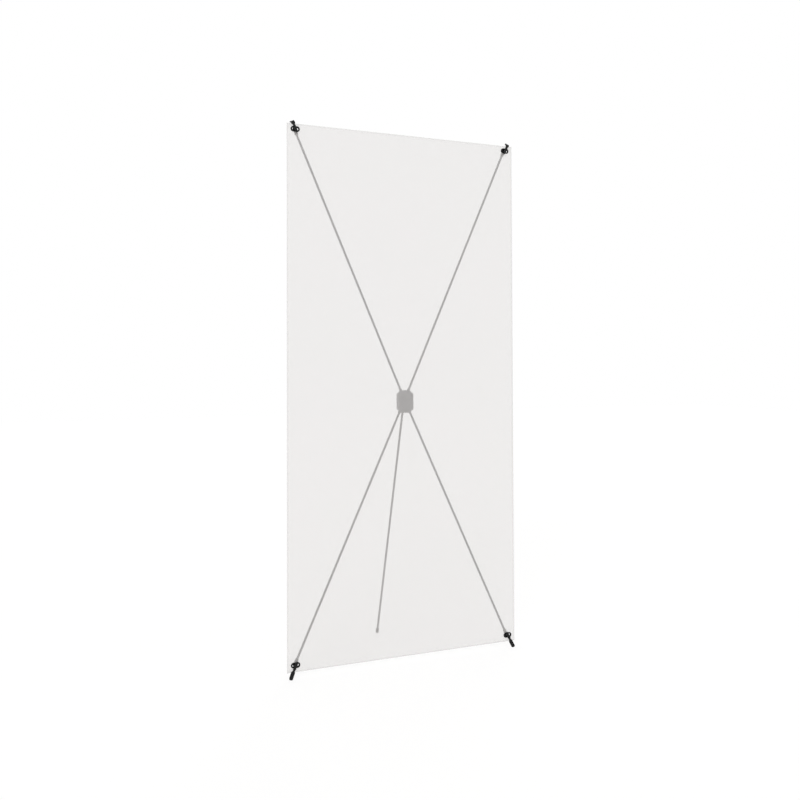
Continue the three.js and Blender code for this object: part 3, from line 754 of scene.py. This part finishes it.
def copied(name, mesh, places, material, nodes, body):
    """Copies a mesh to the places, as one piece that stands for the CAD nodes."""
    spots = bpy.data.meshes.new(name + "_places")
    spots.from_pydata([tuple(place) for place in places], [], [])
    one = shown(name + "_pattern", mesh)
    piece = grown(name, spots, copy_tree, {"Pattern": one, "Material": material})
    bpy.data.objects.remove(one)
    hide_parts(*nodes)
    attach(piece, body)
    print(name, len(places), "times,", len(piece.data.polygons), "faces")
    return piece


# %% Turned and swept shapes
SEAM_MERGE = 0.0005 * MM


def skin(rings, name, closed_rings=False):
    """A skin over rings of points: closed into a loop of rings, or with a cap at each end."""
    shape = bmesh.new()
    rows = [[shape.verts.new(point) for point in ring] for ring in rings]
    pairs = list(zip(rows, rows[1:]))
    if closed_rings:
        pairs.append((rows[-1], rows[0]))
    for one, other in pairs:
        for i in range(len(one)):
            j = (i + 1) % len(one)
            shape.faces.new((one[i], one[j], other[j], other[i]))
    if not closed_rings:
        shape.faces.new(list(reversed(rows[0])))
        shape.faces.new(rows[-1])
    bmesh.ops.remove_doubles(shape, verts=shape.verts, dist=SEAM_MERGE)
    # Where an outline runs along the axis, its faces shrink to loose edges.
    loose = [edge for edge in shape.edges if not edge.link_faces]
    bmesh.ops.delete(shape, geom=loose, context="EDGES")
    bmesh.ops.recalc_face_normals(shape, faces=shape.faces)
    mesh = bpy.data.meshes.new(name)
    shape.to_mesh(mesh)
    shape.free()
    return mesh


def oval_turns(sides):
    """The two ends of a racetrack oval, as (which end, angle) all the way round."""
    half = sides // 2
    return [(side, side * math.pi / 2 - math.pi * i / half) for side in (1, -1) for i in range(half + 1)]


def oval_ring(name, profile, straight, sides):
    """Sweeps a closed profile of (distance from the middle line, depth) round a racetrack oval."""
    rings = []
    for side, angle in oval_turns(sides):
        c, s = math.cos(angle), math.sin(angle)
        rings.append([(out * c + side * straight, depth, out * s) for out, depth in profile])
    return skin(rings, name, closed_rings=True)


# %% [markdown]
# ## Hub screws
#
# Four self-tapping screws close the hub from behind. Only their pan heads show, each with a cross recess.
# The head is turned as a ring of points, and the recess is a tapering cross that a Boolean takes out of it.


# %% Screws
def turned(name, profile, sides):
    """Turns (radius, height) points about Y; heights grow towards the rear."""
    rings = []
    for radius, depth in profile:
        spokes = [2 * math.pi * i / sides for i in range(sides)]
        rings.append([(radius * math.cos(a), depth, radius * math.sin(a)) for a in spokes])
    return skin(rings, name)


screw_low, screw_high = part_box("hub_screw_top_left")
SCREW_LENGTH = screw_high.y - screw_low.y
HEAD_RADIUS = (screw_high.x - screw_low.x) / 2
SHANK_RADIUS = 1.4 * MM
POINT_RADIUS = 0.5 * MM
TAPER_RADIUS = 1.25 * MM
TAPER_LENGTH = 2 * MM
HEAD_HEIGHT = 1.8 * MM
HEAD_CHAMFER = 0.15 * MM
HEAD_ROUNDING = 1.1 * MM
# In millimetres: the dome of the head, and half the width, half the length and the depth of the recess.
HEAD_DOME = 0.95
RECESS_HALF_WIDTH = 0.42
RECESS_HALF_LENGTH = 1.7
RECESS_DEPTH = 1.0
RECESS_TAPER = 0.8
ABOVE_HEAD = 0.4
head_profile = [
    (POINT_RADIUS, -SCREW_LENGTH),
    (TAPER_RADIUS, -SCREW_LENGTH + TAPER_LENGTH),
    (SHANK_RADIUS, -HEAD_HEIGHT),
    (HEAD_RADIUS - HEAD_CHAMFER, -HEAD_HEIGHT),
    (HEAD_RADIUS, -HEAD_HEIGHT + HEAD_CHAMFER),
]
for i in range(9):
    angle = math.pi / 2 * i / 8
    radius = HEAD_RADIUS - HEAD_ROUNDING * (1 - math.cos(angle))
    head_profile.append((radius, (-HEAD_DOME + HEAD_DOME * math.sin(angle)) * MM))
head_profile.append((0.4 * MM, 0))
screw = shown("screw_blank", turned("screw", head_profile, 40))
cutter = bmesh.new()
for across, along in ((RECESS_HALF_WIDTH, RECESS_HALF_LENGTH), (RECESS_HALF_LENGTH, RECESS_HALF_WIDTH)):
    bottom = [(x * across * MM, -RECESS_DEPTH * MM, z * along * MM * RECESS_TAPER) for x, z in SQUARE]
    top = [(x * across * MM, ABOVE_HEAD * MM, z * along * MM) for x, z in SQUARE]
    lower = [cutter.verts.new(point) for point in bottom]
    upper = [cutter.verts.new(point) for point in top]
    cutter.faces.new(lower)
    cutter.faces.new(list(reversed(upper)))
    for i in range(4):
        j = (i + 1) % 4
        cutter.faces.new((lower[i], upper[i], upper[j], lower[j]))
bmesh.ops.recalc_face_normals(cutter, faces=cutter.faces)
cross_mesh = bpy.data.meshes.new("cross")
cutter.to_mesh(cross_mesh)
cutter.free()
cross = shown("cross_cutter", cross_mesh)
cut = screw.modifiers.new("recess", "BOOLEAN")
cut.object = cross
cut.operation = "DIFFERENCE"
cut.use_self = True
screw_mesh = plain_mesh(screw)
for item in (screw, cross):
    bpy.data.objects.remove(item)
screw_nodes = ["hub_screw_" + corner for corner in rods if corner != "leg"]
screw_places = []
for node in screw_nodes:
    low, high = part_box(node)
    screw_places.append(((low.x + high.x) / 2, high.y, (low.z + high.z) / 2))
screws = copied("hub_screws", screw_mesh, screw_places, steel_finish, screw_nodes, "hub")
screws.data.shade_flat()

# %% [markdown]
# ## Eyelets
#
# Each corner of the film is pierced by an oval eyelet, longer across the film than it is tall. A real one
# is pressed from sheet metal in two parts: a domed ring in front whose neck goes through the hole, and a
# flat washer behind, over which the neck is rolled. One cross-section swept round a racetrack gives each.

# %% Eyelets and washers
RING_STRAIGHT = 6 * MM
RING_OUTER = 9 * MM
RING_BORE = 4 * MM
NECK = RING_BORE + 1.1 * MM
FRONT_SEAT = -0.17 * MM
OVAL_SIDES = 56
# In millimetres: the ring's edge and dome before the film, and the roll's seat, height and half width behind.
RING_EDGE = 0.5
RING_DOME = 1.7
ROLL_SEAT = 1.55
ROLL_HEIGHT = 0.8
ROLL_HALF = 0.62
crown = (RING_OUTER + RING_BORE) / 2
half_width = (RING_OUTER - RING_BORE) / 2
profile = []
for i in range(15):
    angle = math.pi * i / 14
    depth = FRONT_SEAT - (RING_EDGE + RING_DOME * math.sin(angle)) * MM
    profile.append((crown - half_width * math.cos(angle), depth))
profile += [(RING_OUTER, FRONT_SEAT), (NECK, FRONT_SEAT), (NECK, ROLL_SEAT * MM)]
for i in range(8):
    angle = math.pi / 2 * i / 7
    out = NECK + (ROLL_HALF + ROLL_HALF * math.cos(angle)) * MM
    profile.append((out, (ROLL_SEAT + ROLL_HEIGHT * math.sin(angle)) * MM))
profile += [(RING_BORE + 0.25 * MM, 2.35 * MM), (RING_BORE, 2.1 * MM)]
eyelet_mesh = oval_ring("eyelet", profile, RING_STRAIGHT, OVAL_SIDES)
film_corners = [rod["eyelet"] for name, rod in rods.items() if name != "leg"]
eyelet_nodes = ["eyelet_" + name for name in rods if name != "leg"]
eyelets = copied("eyelets", eyelet_mesh, film_corners, eyelet_finish, eyelet_nodes, "banner")

WASHER_OUTER = 8.5 * MM
WASHER_INNER = NECK + 0.2 * MM
WASHER_FRONT = 0.4 * MM
# In millimetres: the height of the washer's straight edge, and the radius of its round one.
WASHER_EDGE = 0.9
WASHER_ROUND = 0.6
washer_profile = [(WASHER_INNER, WASHER_FRONT), (WASHER_OUTER, WASHER_FRONT)]
for i in range(7):
    angle = math.pi / 2 * i / 6
    out = WASHER_OUTER - WASHER_ROUND * MM * (1 - math.cos(angle))
    washer_profile.append((out, (WASHER_EDGE + WASHER_ROUND * math.sin(angle)) * MM))
washer_profile.append((WASHER_INNER, 1.5 * MM))
washer_mesh = oval_ring("washer", washer_profile, RING_STRAIGHT, OVAL_SIDES)
washer_nodes = ["eyelet_washer_" + name for name in rods if name != "leg"]
washers = copied(
    "eyelet_washers", washer_mesh, film_corners, eyelet_finish, washer_nodes, "banner"
)

# %% [markdown]
# ## Corner hooks
#
# One moulding does five jobs: a socket grips the rod behind the film, a round shoulder stands behind the
# washer, a stem comes through the eyelet, a short toe runs inwards over the ring, and a recessed leaf runs
# outwards past the film's corner. The top leaves curl back over the edge, and the bottom ones lean forward
# to the floor and are the front feet. Socket and shoulder are turned, and the rest is a skin over sections
# along a path. A voxel remesh fuses them and leaves the small fillets that a moulding has, and the smoothing
# after it takes the voxels' steps away. The bore for the rod is cut last, so that it stays crisp.


# %% Paths in the plane of the hook, as (outwards, depth)
def curve(start, corner, end):
    """A bend from start to end that heads for the corner first."""
    steps = [i / 20 for i in range(21)]
    return [start * (1 - t) ** 2 + corner * (2 * t * (1 - t)) + end * t * t for t in steps]


def spaced(points, count):
    """The same path as count + 1 evenly spaced points."""
    lengths = [0.0]
    for one, other in zip(points, points[1:]):
        lengths.append(lengths[-1] + (other - one).length)
    found, i = [], 0
    for step in range(count + 1):
        target = lengths[-1] * step / count
        while i < len(points) - 2 and lengths[i + 1] < target:
            i += 1
        reach = lengths[i + 1] - lengths[i]
        share = 0 if reach == 0 else min(1, (target - lengths[i]) / reach)
        found.append(points[i].lerp(points[i + 1], share))
    return found


BAR_DEPTH = -14.1 * MM
NECK_REACH = 18 * MM
TOE_REACH = 13 * MM
STEM_BEND = 3.3 * MM
CROOK_RADIUS = 9 * MM
CROOK_ANGLE = math.radians(130)
FOOT_LEAF_REACH = 44 * MM
FOOT_LEAF_LEAN = 6 * MM


def hook_path(is_top):
    bar = Vector((STEM_BEND, BAR_DEPTH))
    points = [Vector((0, 0)), *curve(Vector((0, BAR_DEPTH + STEM_BEND)), Vector((0, BAR_DEPTH)), bar)]
    if is_top:
        for i in range(41):
            angle = -math.pi / 2 + CROOK_ANGLE * i / 40
            middle = Vector((NECK_REACH, BAR_DEPTH + CROOK_RADIUS))
            points.append(middle + CROOK_RADIUS * Vector((math.cos(angle), math.sin(angle))))
    else:
        middle = Vector(((NECK_REACH + FOOT_LEAF_REACH) / 2, BAR_DEPTH))
        tip = Vector((FOOT_LEAF_REACH, BAR_DEPTH - FOOT_LEAF_LEAN))
        points += curve(Vector((NECK_REACH, BAR_DEPTH)), middle, tip)
    return points


print("bar", round(-BAR_DEPTH / MM, 1), "mm before the rod's axis")


# %% Sections along a path
SECTION_POINTS = 56
# Below 1 this makes the sections squarer than an ellipse.
SQUARENESS = 0.6
LEAF_RIM = 1.7 * MM
LEAF_RECESS = 0.9 * MM
RECESS_WALL = 0.5 * MM


def eased(table, share):
    """The value at a share of the way in a table of (share, value), with soft steps."""
    for (low, one), (high, other) in zip(table, table[1:]):
        if share <= high:
            t = min(1, max(0, (share - low) / (high - low)))
            return one + (other - one) * t * t * (3 - 2 * t)
    return table[-1][1]


def soft_step(value, low, high):
    """0 below low, 1 above high, and a smooth way between."""
    t = min(1, max(0, (value - low) / (high - low)))
    return t * t * (3 - 2 * t)


def sections(centres, widths, thicknesses, recess=None):
    """Rounded sections across the path; recess gives the dent's share of its depth at each step."""
    rings = []
    for step, centre in enumerate(centres):
        before = centres[max(step - 1, 0)]
        after = centres[min(step + 1, len(centres) - 1)]
        along = (after - before).normalized()
        normal = Vector((-along.y, along.x))
        ring = []
        for i in range(SECTION_POINTS):
            angle = 2 * math.pi * (i + 0.5) / SECTION_POINTS
            c, s = math.cos(angle), math.sin(angle)
            across = math.copysign(abs(c) ** SQUARENESS, c) * widths[step] / 2
            up = math.copysign(abs(s) ** SQUARENESS, s) * thicknesses[step] / 2
            if recess and up < 0:
                room = widths[step] / 2 - LEAF_RIM - abs(across)
                up += LEAF_RECESS * recess[step] * soft_step(room, 0, RECESS_WALL)
            out, depth = centre + normal * up
            ring.append((across, depth, out))
        rings.append(ring)
    return rings


# Widths and thicknesses in millimetres, as (share of the path, size).
leaf_widths = [(0, 9), (0.42, 9), (0.46, 7.5), (0.5, 7.5), (0.61, 13), (0.92, 13), (0.97, 10.5), (1, 8)]
leaf_thicknesses = [(0, 5), (0.42, 5), (0.46, 4.4), (0.5, 4.4), (0.55, 3.4), (0.97, 3.4), (1, 1.7)]
toe_widths = [(0, 9), (0.4, 9), (0.7, 7.5), (0.88, 7), (0.96, 5.6), (1, 3.5)]
toe_thicknesses = [(0, 5), (0.4, 5), (0.7, 4.4), (0.88, 4.4), (0.96, 3.5), (1, 2.2)]


# %% One hook in its own place, with the socket's mouth inwards
BLADE_STEPS = 120
RECESS_START = (0.6, 0.64)
RECESS_END = (0.93, 0.965)
TOE_STEPS = 40
TURN_SIDES = 56


def swept_blade(is_top):
    """The stem and the leaf, from behind the film to the leaf's tip."""
    centres = spaced(hook_path(is_top), BLADE_STEPS)
    shares = [i / BLADE_STEPS for i in range(BLADE_STEPS + 1)]
    recess = [soft_step(share, *RECESS_START) * (1 - soft_step(share, *RECESS_END)) for share in shares]
    widths = [eased(leaf_widths, share) * MM for share in shares]
    thicknesses = [eased(leaf_thicknesses, share) * MM for share in shares]
    return skin(sections(centres, widths, thicknesses, recess), "blade")


def swept_toe():
    steps = range(TOE_STEPS + 1)
    centres = [Vector((STEM_BEND - (STEM_BEND + TOE_REACH) * i / TOE_STEPS, BAR_DEPTH)) for i in steps]
    widths = [eased(toe_widths, i / TOE_STEPS) * MM for i in steps]
    thicknesses = [eased(toe_thicknesses, i / TOE_STEPS) * MM for i in steps]
    return skin(sections(centres, widths, thicknesses), "toe")


def turned_on_rod(name, outline):
    """Turns (radius, place along the rod) about the rod's line, in millimetres."""
    mesh = turned(name, [(radius * MM, along * MM) for radius, along in outline], TURN_SIDES)
    mesh.transform(Matrix.Rotation(math.pi / 2, 4, "X"))
    return mesh


# %% The parts fused, and the bore cut
VOXEL = 0.34 * MM
HOOK_MERGE = 0.01 * MM
# Outlines in millimetres, as (radius, place along the axis).
socket_outline = [(4.45, -18), (4.95, -17.8), (5.25, -17.2), (5.25, 0.9), (4.6, 2.1), (3.65, 2.5)]
bore_outline = [(4.1, -18.3), (3.7, -17.6), (3.7, -3.2)]
shoulder_outline = [(6.9, -5.35), (7.3, -5.15), (7.5, -4.7), (7.5, -2.0), (7.3, -1.55), (6.9, -1.35)]
shoulder_profile = [(radius * MM, depth * MM) for radius, depth in shoulder_outline]


def fused_hook(is_top):
    socket = turned_on_rod("socket", socket_outline)
    shoulder = turned("shoulder", shoulder_profile, TURN_SIDES)
    shape = bmesh.new()
    for mesh in (socket, shoulder, swept_blade(is_top), swept_toe()):
        shape.from_mesh(mesh)
    mesh = bpy.data.meshes.new("hook_parts")
    shape.to_mesh(mesh)
    shape.free()
    raw = shown("hook_parts", mesh)
    remesh = raw.modifiers.new("fuse", "REMESH")
    remesh.mode = "VOXEL"
    remesh.voxel_size = VOXEL
    soften = raw.modifiers.new("soften", "SMOOTH")
    soften.factor = 0.5
    soften.iterations = 6
    bore = shown("bore", turned_on_rod("bore", bore_outline))
    cut = raw.modifiers.new("rod_bore", "BOOLEAN")
    cut.object = bore
    cut.operation = "DIFFERENCE"
    made = cleaned(plain_mesh(raw), HOOK_MERGE)
    for item in (raw, bore):
        bpy.data.objects.remove(item)
    return made


hook_meshes = {is_top: fused_hook(is_top) for is_top in (True, False)}
print("hook faces:", {is_top: len(mesh.polygons) for is_top, mesh in hook_meshes.items()})


# %% Hooks in their corners, the bottom pair cut flat where it stands
def above_floor(mesh):
    """Cuts a mesh off at the floor and closes it there."""
    shape = bmesh.new()
    shape.from_mesh(mesh)
    everything = shape.verts[:] + shape.edges[:] + shape.faces[:]
    bmesh.ops.bisect_plane(shape, geom=everything, plane_co=(0, 0, 0), plane_no=(0, 0, 1), clear_inner=True)
    rim = [edge for edge in shape.edges if edge.is_boundary]
    if rim:
        bmesh.ops.holes_fill(shape, edges=rim)
    shape.to_mesh(mesh)
    shape.free()


def placed_hook(corner, rod):
    mesh = hook_meshes[corner.startswith("top")].copy()
    own = mesh.attributes.new("own_place", "FLOAT_VECTOR", "POINT")
    own.data.foreach_set("vector", [c for vertex in mesh.vertices for c in vertex.co])
    mesh.transform(rod["hook"])
    if corner.startswith("bottom"):
        above_floor(mesh)
    mesh.materials.clear()
    mesh.materials.append(hook_finish)
    mesh.shade_smooth()
    piece = shown("corner_hook_" + corner + "_nylon", mesh)
    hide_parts("corner_hook_" + corner)
    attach(piece, rod["body"])
    return piece


hooks = [placed_hook(corner, rod) for corner, rod in rods.items() if corner != "leg"]
for hook in hooks:
    lowest = min(vertex.co.z for vertex in hook.data.vertices)
    print(hook.name, "lowest point", round(lowest / MM, 2), "mm")

# %% [markdown]
# ## Rubber foot
#
# The rear leg ends in a small rubber cap. It is turned about the rod's line with three shallow grip
# grooves, and its round end is cut flat by the floor.

# %% Foot
FOOT_RADIUS = 5.25 * MM
FOOT_BORE = 3.7 * MM
FOOT_LENGTH = 19 * MM
TIP = 6 * MM
ROD_END_GAP = 0.25 * MM
GROOVE_DEPTH = 0.25 * MM
leg_frame = rod_frame(rods["leg"]["outer"], rods["leg"]["outer"] - rods["leg"]["inner"])
outline = []
for i in range(13):
    angle = math.pi / 2 * i / 12
    outline.append((FOOT_RADIUS * math.cos(angle), TIP - FOOT_RADIUS + FOOT_RADIUS * math.sin(angle)))
outline[-1] = (0.0, TIP)
outline += [(0.0, ROD_END_GAP), (FOOT_BORE, ROD_END_GAP), (FOOT_BORE, TIP - FOOT_LENGTH)]
outline += [(4.4 * MM, TIP - FOOT_LENGTH), (4.9 * MM, TIP - 18.4 * MM)]
for groove in (-10.5, -8.5, -6.5):
    outline += [(FOOT_RADIUS, (groove - 0.6) * MM), (FOOT_RADIUS - GROOVE_DEPTH, (groove - 0.3) * MM)]
    outline += [(FOOT_RADIUS - GROOVE_DEPTH, (groove + 0.3) * MM), (FOOT_RADIUS, (groove + 0.6) * MM)]
FOOT_SIDES = 48
foot_rings = []
for i in range(FOOT_SIDES):
    angle = 2 * math.pi * i / FOOT_SIDES
    c, s = math.cos(angle), math.sin(angle)
    foot_rings.append([leg_frame @ Vector((radius * c, radius * s, along)) for radius, along in outline])
foot_mesh = skin(foot_rings, "leg_foot_rubber", closed_rings=True)
above_floor(foot_mesh)
foot_mesh.materials.append(rubber_finish)
foot_mesh.shade_smooth()
foot = shown("leg_foot_rubber", foot_mesh)
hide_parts("leg_foot")
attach(foot, "rear_leg")
print(foot.name, len(foot_mesh.polygons), "faces")

# %% [markdown]
# ## Film
#
# The film is 800 by 1720 mm, flat, and held at its corners only. Each hook pulls on its corner, so faint
# creases fan out from the eyelets, and the middle stands a millimetre forward, where the hub's front is
# close behind it. A triangulation with the outline and the four oval holes as fixed edges gives a clean
# sheet with no Boolean. Solidify gives it a thickness of 0.3 mm.

# %% Outline, holes and the points between them
HOLE_RADIUS = NECK + 0.1 * MM
HOLE_SIDES = 24
# A second ring of points lies this far outside the hole, and the grid's points keep this far away.
COLLAR = 4 * MM
CLEARING = 7 * MM
GRID = 10 * MM


def racetrack(middle, radius):
    points = []
    for side, angle in oval_turns(HOLE_SIDES):
        x = middle.x + side * RING_STRAIGHT + radius * math.cos(angle)
        points.append(Vector((x, middle.z + radius * math.sin(angle))))
    return points


def off_hole(point, middle):
    """How far a point of the sheet is from the hole's middle line."""
    sideways = max(0.0, abs(point.x - middle.x) - RING_STRAIGHT)
    return math.hypot(sideways, point.y - middle.z)


columns = round((film_high.x - film_low.x) / GRID)
rows = round((film_high.z - film_low.z) / GRID)
points, edges = [], []


def add_loop(loop):
    first = len(points)
    points.extend(loop)
    edges.extend((first + i, first + (i + 1) % len(loop)) for i in range(len(loop)))


edge_points = []
for i in range(columns):
    edge_points.append((film_low.x + GRID * i, film_low.z))
for i in range(rows):
    edge_points.append((film_high.x, film_low.z + GRID * i))
for i in range(columns):
    edge_points.append((film_high.x - GRID * i, film_high.z))
for i in range(rows):
    edge_points.append((film_low.x, film_high.z - GRID * i))
add_loop([Vector(point) for point in edge_points])
for middle in film_corners:
    add_loop(racetrack(middle, HOLE_RADIUS))
    points.extend(racetrack(middle, HOLE_RADIUS + COLLAR))
for i in range(1, columns):
    for j in range(1, rows):
        point = Vector((film_low.x + GRID * i, film_low.z + GRID * j))
        if all(off_hole(point, middle) > HOLE_RADIUS + CLEARING for middle in film_corners):
            points.append(point)
print("sheet points", len(points))

# %% The sheet
FILM_THICKNESS = 0.3 * MM
FORWARD = 1.0 * MM
CREASE = 0.22 * MM
CREASES_ROUND = 9
CREASE_START = 15 * MM
CREASE_FULL = 60 * MM
CREASE_FADE = 110 * MM


def film_depth(point):
    """How far the sheet stands forward of its flat plane."""
    across = (point.x - film_low.x) / (film_high.x - film_low.x)
    up = (point.y - film_low.z) / (film_high.z - film_low.z)
    depth = FORWARD * math.sin(math.pi * across) * math.sin(math.pi * up)
    for middle in film_corners:
        away = Vector((point.x - middle.x, point.y - middle.z))
        reach = away.length
        fan = math.cos(CREASES_ROUND * math.atan2(away.y, away.x))
        depth += CREASE * fan * soft_step(reach, CREASE_START, CREASE_FULL) * math.exp(-reach / CREASE_FADE)
    return depth


flat, _, triangles, _, _, _ = geometry.delaunay_2d_cdt(points, edges, [], 0, 1e-7)
sheet = bmesh.new()
corners = [sheet.verts.new((p.x, FILM_Y + FILM_THICKNESS / 2 - film_depth(p), p.y)) for p in flat]
for triangle in triangles:
    # A triangle is in a hole when its centre is; a thousandth less allows for rounding.
    centre = sum((flat[i] for i in triangle), Vector((0, 0))) / 3
    if all(off_hole(centre, middle) > HOLE_RADIUS * 0.999 for middle in film_corners):
        sheet.faces.new([corners[i] for i in triangle])
for face in sheet.faces:
    face.normal_update()
    if face.normal.y < 0:
        face.normal_flip()
bmesh.ops.delete(sheet, geom=[v for v in sheet.verts if not v.link_faces], context="VERTS")
film_mesh = bpy.data.meshes.new("film")
sheet.to_mesh(film_mesh)
sheet.free()
film_mesh.materials.append(film_finish)
film_mesh.shade_smooth()
film = shown("film_sheet", film_mesh)
wall = film.modifiers.new("thickness", "SOLIDIFY")
wall.thickness = FILM_THICKNESS
wall.offset = -1
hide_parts("banner_film")
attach(film, "banner")
print("film", len(film_mesh.polygons), "triangles")
